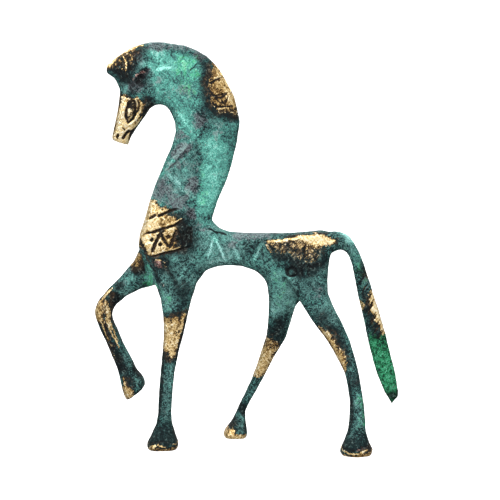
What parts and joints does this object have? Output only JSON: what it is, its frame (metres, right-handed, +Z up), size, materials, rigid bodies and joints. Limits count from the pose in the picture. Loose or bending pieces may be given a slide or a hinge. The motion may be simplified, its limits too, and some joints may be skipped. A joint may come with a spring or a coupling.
{
  "type": "geometric bronze horse figurine",
  "caption": "Standing bronze horse figurine in the Greek geometric manner: thin arched neck, crest, slim barrel, splayed legs, one foreleg raised, long tail and chiselled ornament.",
  "frame": {"origin": "centre of the underside of the bounding box, on the ground between the hooves", "axes": "+Z up from the soles to the crest, -X the way the horse faces, -Y out of its left side"},
  "size_m": [0.1096, 0.0326, 0.145],
  "materials": {
    "bronze": "cast bronze with a green and black patina, rubbed to gold on the crest, muzzle, chest, rump and legs"
  },
  "bodies": {
    "root": {"horse": "bronze"}
  },
  "joints": []
}
